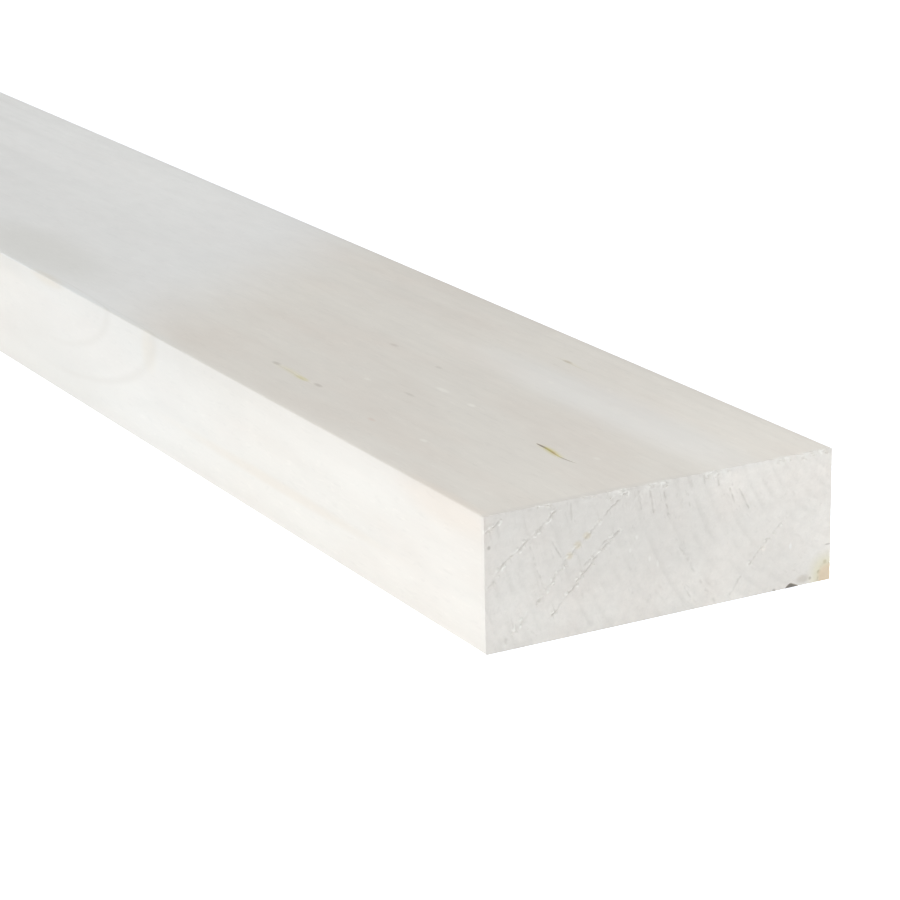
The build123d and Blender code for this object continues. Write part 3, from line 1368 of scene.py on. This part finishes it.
        # the last tint is the painted sheen
        tints = [(wood.late, ring), (wood.warm, self.add(RANGE, warmth)), (wood.sap, self.sapwood())]
        colour = self.layered(wood.early, tints)
        start = self.plank.node_place(wood.streak_start, 0, 0)[0]
        plain = {"Value": self.along, "From Min": start, "From Max": start - wood.streak_fade}
        streaked = self.add(RANGE, plain)
        everywhere = 1.0
        layers = ((wood.mottles, everywhere), (wood.end_mottles, self.end_grain), (wood.streaks, streaked))
        for mottles, share in layers:
            for mottle in mottles:
                colour = self.layered(colour, [(self.mottled(colour, mottle), share)])
        greyer = self.add(VECTOR, {0: colour, 1: wood.end_grey}, operation="MULTIPLY")
        return self.stripes(self.layered(colour, [(greyer, self.end_grain)]))

    def stains(self) -> list[tuple[Colour, NodeSocket]]:
        """Draw the coloured spots, painted highlight and shade among them, and the near side of each bent
        ring.

        Returns:
            Their colours, each with its share.
        """
        wood = self.wood
        layers = []
        for stain in wood.stains:
            edge = {"Value": self.away(stain), "From Min": wood.stain_firm}
            edge |= {"To Min": stain.strength, "To Max": 0}
            layers.append((stain.colour, self.add(RANGE, edge, interpolation_type="SMOOTHSTEP")))
        for arc in wood.arcs:
            beside = self.add(MATH, {0: self.away(arc), 1: 1.0}, operation="SUBTRACT")
            gap = self.add(MATH, {0: beside}, operation="ABSOLUTE")
            edge = {"Value": gap, "From Max": arc.line, "To Min": arc.strength, "To Max": 0}
            line = self.add(RANGE, edge, interpolation_type="SMOOTHSTEP")
            middle = self.plank.node_place(arc.back, arc.across, arc.down)[0]
            near = {"Value": self.along, "From Min": middle, "From Max": middle + wood.arc_fade}
            share = self.add(MATH, {0: line, 1: self.add(RANGE, near)}, operation="MULTIPLY")
            layers.append((wood.late, share))
        return layers

    def resin(self) -> NodeSocket:
        """Colour of the resin in a slit, from the crust of its near tail to the dark pitch of its far head.

        Returns:
            The colour.
        """
        wood = self.wood
        along = self.add(RANGE, {"Value": self.masks[Mask.PITCH_ALONG], "From Min": -1.0})
        ends = ((0.26, wood.crust), (0.84, wood.pitch))
        between = ((0.4, wood.halo), (0.53, wood.rust), (0.62, wood.amber), (0.74, wood.amber))
        stops = tuple((position, linear(colour)) for position, colour in (*ends, *between))
        return self.add(RAMP, {"Fac": along}, stops=stops)

    def defects(self) -> list[tuple[Colour, NodeSocket]]:
        """Draw what the masks of the mesh mark out.

        Returns:
            Their colours, each with its share.
        """
        wood, masks = self.wood, self.masks
        # The pale torn fibres are partly painted highlight, the dark scores partly painted shade
        pale = self.add(MATH, {0: masks[Mask.TORN], 1: wood.torn_share}, operation="MULTIPLY")
        score_and_shade = self.add(MATH, {0: masks[Mask.SAWN], 1: wood.score_share}, operation="MULTIPLY")
        return [
            (wood.halo, masks[Mask.HALO]),
            (wood.knot, masks[Mask.KNOT]),
            (self.resin(), masks[Mask.PITCH]),
            (wood.bark, masks[Mask.BARK]),
            (wood.torn, pale),
            (wood.score, score_and_shade),
        ]

    def build(self) -> Material:
        """Draw the wood with its spots, painted light and defects, its roughness and its fine grain.

        Returns:
            The material.
        """
        wood = self.wood
        late = self.rings()
        colour = self.layered(self.clear_wood(late), [*self.stains(), *self.defects()])
        fibre = self.lumpy(wood.fibre_lumps, detail=2)
        low, high = wood.roughness - wood.roughness_swing, wood.roughness + wood.roughness_swing
        dull = self.add(RANGE, {"Value": fibre, "To Min": low, "To Max": high})
        gloss = {0: self.masks[Mask.PITCH], 1: wood.resin_gloss, 2: dull}
        roughness = self.add(MATH, gloss, operation="MULTIPLY_ADD")
        height = self.add(MATH, {0: late, 1: wood.late_rise, 2: fibre}, operation="MULTIPLY_ADD")
        grain = {"Height": height, "Strength": wood.fibre_strength, "Distance": wood.fibre_height * MM}
        shader = self.tree.nodes["Principled BSDF"].inputs
        shader["IOR"].default_value = wood.ior
        self.tree.links.new(colour, shader["Base Color"])
        self.tree.links.new(roughness, shader["Roughness"])
        self.tree.links.new(self.add("ShaderNodeBump", grain), shader["Normal"])
        return self.material


@dataclass(frozen=True)
class TornFibres:
    """Pale fibre ends that the saw has left along its scores and along the top edge of the show end."""

    spacing: float = 0.3
    length: float = 1.1
    radius: float = 0.11
    share: float = 0.3  # share of the places that carry a fibre
    stray: float = 0.45  # how far a fibre may stand beside its line
    root: float = 0.15  # how deep it starts in the wood
    edge_line: float = 0.5  # depth of the upper line of fibres in a torn patch
    middle_share: float = 0.5  # and of the lower one, as a share of the patch's height
    least_turn: Size3 = (0.0, 25.0, 50.0)  # degrees from upright, and round from straight out
    most_turn: Size3 = (0.0, 100.0, 84.0)
    least_size: float = 0.4
    most_size: float = 1.3
    sides: int = 5
    seed: int = 11
    colour: str = "#EFEAE1"
    roughness: float = 0.8

    def lines(self, plank: Plank) -> Object:
        """Lay the lines that the fibres follow on the plank's rough end.

        Args:
            plank: The plank, for its marks and its relief.

        Returns:
            An object that holds only edges.
        """
        paths = [mark.path for mark in plank.saw_marks if mark.burr > 0]
        for patch in plank.torn_patches:
            for down in (self.edge_line, self.middle_share * patch.height):
                paths.append(((patch.start, down), (patch.end, down)))
        places, edges = [], []
        for path in paths:
            start = len(places)
            for near, far in zip(path, path[1:]):
                steps = max(1, round(math.dist(near, far) / self.spacing))
                places += [(0.0, *np.array(near) + (np.array(far) - near) * i / steps) for i in range(steps)]
            places.append((0.0, *path[-1]))
            edges += [(i, i + 1) for i in range(start, len(places) - 1)]
        shifted, _ = plank.relief(np.array(places))
        shifted[:, 0] += self.root
        mesh = bpy.data.meshes.new("torn_fibre_lines")
        mesh.from_pydata(plank.to_frame(shifted).tolist(), edges, [])
        lines = bpy.data.objects.new("torn_fibre_lines", mesh)
        bpy.context.scene.collection.objects.link(lines)
        return lines

    def material(self) -> Material:
        """Make the fibres' material.

        Returns:
            The material.
        """
        # Torn spruce: dull and paler than the planed face, so that the fibres catch the eye as light flecks
        material = bpy.data.materials.new("torn spruce fibre")
        material.use_nodes = True
        shader = material.node_tree.nodes["Principled BSDF"]
        shader.inputs["Base Color"].default_value = linear(self.colour)
        shader.inputs["Roughness"].default_value = self.roughness
        return material

    def tree(self) -> tuple[GeometryNodeTree, dict[str, str]]:
        """Build the node tree that sets fibres along lines.

        Returns:
            The tree, and the identifier of each of its inputs by name.
        """
        tree = bpy.data.node_groups.new("torn fibres", "GeometryNodeTree")
        kinds = {
            "Lines": "Geometry",
            "Spacing": "Float",
            "Length": "Float",
            "Radius": "Float",
            "Share": "Float",
            "Stray": "Vector",
            "Least turn": "Vector",
            "Most turn": "Vector",
            "Seed": "Int",
            "Material": "Material",
        }
        names = {}
        for name, kind in kinds.items():
            socket = tree.interface.new_socket(name, in_out="INPUT", socket_type=f"NodeSocket{kind}")
            names[name] = socket.identifier
        tree.interface.new_socket("Fibres", in_out="OUTPUT", socket_type="NodeSocketGeometry")
        add = partial(add_node, tree)
        given = add("NodeGroupInput").node.outputs
        seed = {"Seed": given["Seed"]}
        curve = add("GeometryNodeMeshToCurve", {"Mesh": given["Lines"]})
        spots = add("GeometryNodeResampleCurve", {"Curve": curve, "Length": given["Spacing"]}, mode="LENGTH")
        other = add(VECTOR, {0: given["Stray"], "Scale": -1.0}, operation="SCALE")
        aside = {"Min": other, "Max": given["Stray"]} | seed
        shift = add(RANDOM, aside, "Value", data_type="FLOAT_VECTOR")
        spots = add("GeometryNodeSetPosition", {"Geometry": spots, "Offset": shift})
        chosen = add(RANDOM, {"Probability": given["Share"]} | seed, "Value", data_type="BOOLEAN")
        turns = {"Min": given["Least turn"], "Max": given["Most turn"]} | seed
        turn = add(RANDOM, turns, "Value", data_type="FLOAT_VECTOR")
        sizes = {"Min": self.least_size, "Max": self.most_size} | seed
        size = add(RANDOM, sizes, "Value", data_type="FLOAT")
        taper = {"Vertices": self.sides, "Radius Top": 0.0}
        taper |= {"Radius Bottom": given["Radius"], "Depth": given["Length"]}
        fibre = add("GeometryNodeMeshCone", taper, "Mesh")
        placed = {"Points": spots, "Selection": chosen, "Instance": fibre, "Rotation": turn, "Scale": size}
        fibres = add("GeometryNodeInstanceOnPoints", placed)
        real = add("GeometryNodeRealizeInstances", {0: fibres})
        dressed = add("GeometryNodeSetMaterial", {"Geometry": real, "Material": given["Material"]})
        add("NodeGroupOutput", {0: dressed})
        return tree, names

    def build(self, plank: Plank) -> Object:
        """Make the fibres as one mesh.

        Args:
            plank: The plank that carries them.

        Returns:
            The fibres' object.
        """
        lines = self.lines(plank)
        modifier = lines.modifiers.new("fibres", "NODES")
        tree, names = self.tree()
        modifier.node_group = tree
        values = {
            "Spacing": self.spacing * MM,
            "Length": self.length * MM,
            "Radius": self.radius * MM,
            "Share": self.share,
            "Stray": (0.0, self.stray * MM, self.stray * MM),
            "Least turn": [math.radians(angle) for angle in self.least_turn],
            "Most turn": [math.radians(angle) for angle in self.most_turn],
            "Seed": self.seed,
            "Material": self.material(),
        }
        for name, value in values.items():
            modifier[names[name]] = value
        drawn = lines.evaluated_get(bpy.context.evaluated_depsgraph_get())
        mesh = bpy.data.meshes.new_from_object(drawn)
        mesh.name = "torn_fibres"
        fibres = bpy.data.objects.new("torn_fibres", mesh)
        bpy.context.scene.collection.objects.link(fibres)
        bpy.data.objects.remove(lines)
        return fibres


@dataclass(frozen=True)
class Lamp:
    """A soft rectangular lamp, placed in metres."""

    name: str
    place: Size3
    aim: Size3
    size: tuple[float, float]
    watts: float
    tint: str = "#FFFFFF"

    def hang(self) -> None:
        """Hang the lamp in the scene, facing its aim."""
        light = bpy.data.lights.new(self.name, "AREA")
        light.shape = "RECTANGLE"
        light.size, light.size_y = self.size
        light.energy = self.watts
        light.color = linear(self.tint)[:3]
        lamp = bpy.data.objects.new(self.name, light)
        lamp.location = self.place
        lamp.rotation_euler = (Vector(self.aim) - Vector(self.place)).to_track_quat("-Z", "Y").to_euler()
        bpy.context.scene.collection.objects.link(lamp)


@dataclass(frozen=True)
class Studio:
    """A pale light table, soft light and the camera at the photograph's place."""

    floor_half: float = 8.0  # in metres
    glow_reach: float = 60.0  # the table shines more this far round the plank
    shade_inset: float = 5.0  # the painted shadow under the plank starts this far in from its long edges
    table: float = 0.47  # what the table gives off far from the plank, round it and in the painted shadow under it
    table_middle: float = 0.68
    table_covered: float = 0.2
    table_seen: float = 0.35  # what the camera sees is brighter still, so the table reads as white
    table_colour: str = "#E4E4E4"
    table_tint: str = "#EEF5FF"
    table_roughness: float = 0.9
    covered_colour: str = "#8A857E"
    covered_tint: str = "#F2EDE6"
    surround: float = 0.38
    lens: float = 121.38
    sensor: float = 36.0
    nearest: float = 0.01
    azimuth: float = 61.084
    elevation: float = 17.552
    roll: float = -1.087
    eye_from_corner: Size3 = (554.58, -314.55, 217.35)  # from the near top left corner
    # Name, place, aim, size, watts and tint
    lamps: tuple[Lamp, ...] = (
        Lamp("left lamp", (0.2, -2.6, 0.7), (0.2, 0.0, 0.02), (2.6, 1.2), 6.5, "#F3F9FF"),
        Lamp("near left lamp", (1.3, -1.6, 0.5), (0.85, 0.0, 0.02), (1.0, 0.8), 9.7, "#F3F9FF"),
        Lamp("near right lamp", (1.12, 0.34, 0.24), (0.89, 0.04, 0.03), (0.16, 0.16), 0.195),
        Lamp("overhead lamp", (0.1, 0.5, 2.4), (0.5, 0.0, 0.03), (1.6, 1.6), 28.0, "#F7FBFF"),
    )

    def camera(self, plank: Plank) -> None:
        """Set up the camera.

        Args:
            plank: The plank, for the corner that the camera is placed from.
        """
        corner = plank.to_frame(np.zeros((1, 3)))[0]
        eye = Vector(corner) + Vector(self.eye_from_corner) * MM
        turn, rise = math.radians(self.azimuth), math.radians(self.elevation)
        back = Vector((math.sin(turn) * math.cos(rise), -math.cos(turn) * math.cos(rise), math.sin(rise)))
        right = Vector((math.cos(turn), math.sin(turn), 0))
        level = Matrix((right, back.cross(right), back)).transposed()
        lens = bpy.data.cameras.new("camera")
        lens.lens = self.lens
        lens.sensor_width = self.sensor
        lens.clip_start = self.nearest
        camera = bpy.data.objects.new("camera", lens)
        turned = level @ Matrix.Rotation(math.radians(self.roll), 3, "Z")
        camera.matrix_world = Matrix.Translation(eye) @ turned.to_4x4()
        bpy.context.scene.collection.objects.link(camera)
        bpy.context.scene.camera = camera

    def table_top(self, name: str, strength: float, colour: str, tint: str) -> Material:
        """Make a table top that shines by itself.

        Args:
            name: The material's name.
            strength: How much light it gives off.
            colour: Its own colour.
            tint: The colour of its light.

        Returns:
            The material.
        """
        material = bpy.data.materials.new(name)
        material.use_nodes = True
        shader = material.node_tree.nodes["Principled BSDF"].inputs
        shader["Base Color"].default_value = linear(colour)
        shader["Emission Color"].default_value = linear(tint)
        shader["Emission Strength"].default_value = strength
        return material

    def floor(self) -> Object:
        """Make the pale table, with a painted shadow only where the plank lies on it.

        Returns:
            The table's object.
        """
        half, glow, inset = self.floor_half, self.glow_reach * MM, self.shade_inset * MM
        (left, front, _), (right, back, _) = CAD_BOX
        xs = (-half, left - glow, left, right, right + glow, half)
        ys = (-half, front - glow, front + inset, back - inset, back + glow, half)
        mesh = bpy.data.meshes.new("floor")
        wide, cells = len(ys), len(ys) - 1
        corners = [i * wide + j for i in range(cells) for j in range(cells)]
        faces = [(k, k + wide, k + wide + 1, k + 1) for k in corners]
        mesh.from_pydata([(x, y, 0) for x in xs for y in ys], [], faces)
        # White acrylic, lit from below: an even glow with no gloss, which reads as plain white
        for name, strength in (
            ("white light table", self.table),
            ("white light table middle", self.table_middle),
        ):
            material = self.table_top(name, strength, self.table_colour, self.table_tint)
            shader = material.node_tree.nodes["Principled BSDF"].inputs
            shader["Roughness"].default_value = self.table_roughness
            shader["Specular IOR Level"].default_value = 0.0
            ray = add_node(material.node_tree, "ShaderNodeLightPath", output="Is Camera Ray")
            seen = {"Value": ray, "To Min": strength, "To Max": strength + self.table_seen}
            shine = add_node(material.node_tree, RANGE, seen)
            material.node_tree.links.new(shine, shader["Emission Strength"])
            mesh.materials.append(material)
        # Painted shadow under the plank: the acrylic there is grey and glows faintly, so that its lower
        # edges aren't lit from below and the torn hollow shows dark
        painted_shadow = self.table_top("covered table", self.table_covered, self.covered_colour, self.covered_tint)
        mesh.materials.append(painted_shadow)
        middle = cells // 2
        for polygon in mesh.polygons:
            ring = max(abs(polygon.index // cells - middle), abs(polygon.index % cells - middle))
            polygon.material_index = middle - ring
        floor = bpy.data.objects.new("floor", mesh)
        bpy.context.scene.collection.objects.link(floor)
        return floor

    def light(self) -> None:
        """Set up the even white surround and hang the lamps."""
        world = bpy.data.worlds.new("white surround")
        world.use_nodes = True
        world.node_tree.nodes.clear()
        add = partial(add_node, world.node_tree)
        white = linear("#FFFFFF")
        cast = add("ShaderNodeBackground", {"Color": white, "Strength": self.surround})
        seen = add("ShaderNodeBackground", {"Color": white, "Strength": 1.0})
        ray = add("ShaderNodeLightPath", output="Is Camera Ray")
        add("ShaderNodeOutputWorld", {0: add("ShaderNodeMixShader", {0: ray, 1: cast, 2: seen})})
        bpy.context.scene.world = world
        bpy.context.scene.view_settings.view_transform = "Standard"
        for lamp in self.lamps:
            lamp.hang()

    def build(self, plank: Plank) -> None:
        """Set up the table, the light and the camera.

        Args:
            plank: The plank, for the camera's place.
        """
        self.floor()
        self.light()
        self.camera(plank)


def main() -> None:
    """Build the plank, dress it and set up the studio round it."""
    logging.basicConfig(level=logging.INFO, format="%(name)s: %(message)s")
    low, high = (np.array(corner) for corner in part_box(NODE))
    length, width, thickness = (float(side) for side in (high - low) / MM)
    plank = Plank(length, width, thickness, tuple((low + high) / 2))
    piece = plank.build()
    piece.data.materials.append(WoodPainter(PlanedWhitewood(), plank).build())
    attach(piece, BODY)
    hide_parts(NODE)
    fibres = TornFibres().build(plank)
    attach(fibres, BODY)
    for made in (piece, fibres):
        log.info("%s: %d vertices, %d faces", made.name, len(made.data.vertices), len(made.data.polygons))
    Studio().build(plank)


if __name__ == "__main__":
    main()
